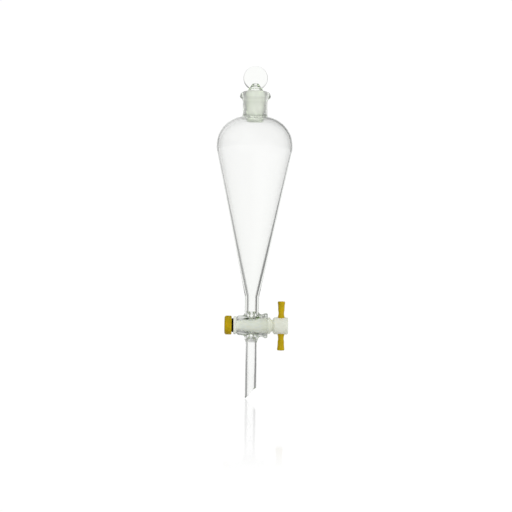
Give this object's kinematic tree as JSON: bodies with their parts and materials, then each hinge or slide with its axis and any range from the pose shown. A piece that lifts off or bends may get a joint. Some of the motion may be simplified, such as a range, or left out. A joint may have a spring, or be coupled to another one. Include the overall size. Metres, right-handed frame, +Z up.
{
  "type": "separatory funnel",
  "caption": "Pear-shaped glass separatory funnel with a flat-headed ground stopper, a stopcock with a T-handle plug and a bevelled drain stem.",
  "frame": {"origin": "on the funnel's axis, at the height where a support ring with a 60 mm opening touches the cone", "axes": "+Z up along the funnel's axis, +X along the stopcock plug's axis from the nut towards the handle, +Y across, away from the viewer who has the handle on the right"},
  "size_m": [0.0724, 0.0724, 0.3154],
  "materials": {
    "clear_glass": "clear borosilicate glass, ground inside the socket and the barrel",
    "stopper_glass": "clear glass head, ground cone",
    "white_ptfe": "waxy, slightly translucent PTFE",
    "yellow_plastic": "moulded, satin gloss",
    "washer_ptfe": "waxy PTFE",
    "black_rubber": "smooth moulded rubber",
    "nut_plastic": "moulded with grip flutes, satin gloss"
  },
  "bodies": {
    "glassware": {"funnel_glass": "clear_glass"},
    "stopper": {"glass_stopper": "stopper_glass"},
    "plug": {"stopcock_plug": "white_ptfe", "handle_arm_with_stud": "yellow_plastic", "handle_arm_with_socket": "yellow_plastic"},
    "seal": {"ptfe_washer": "washer_ptfe", "o_ring": "black_rubber"},
    "nut": {"tension_nut": "nut_plastic"}
  },
  "joints": [
    {"name": "stopper_lift", "type": "slide", "parent": "glassware", "child": "stopper", "axis": [0, 0, 1], "range_m": [0, 0.06]},
    {"name": "plug_turn", "type": "hinge", "parent": "glassware", "child": "plug", "pos_m": [0, 0, -0.138], "axis": [1, 0, 0], "continuous": true},
    {"name": "seal_slide", "type": "slide", "parent": "plug", "child": "seal", "axis": [-1, 0, 0], "range_m": [0, 0.00675]},
    {"name": "nut_turn", "type": "hinge", "parent": "seal", "child": "nut", "pos_m": [-0.0224, 0, -0.138], "axis": [-1, 0, 0], "range_deg": [0, 1620]}
  ],
  "couplings": [
    {"joint": "nut_turn", "follows": "seal_slide", "rad_per_m": 4188.8}
  ]
}
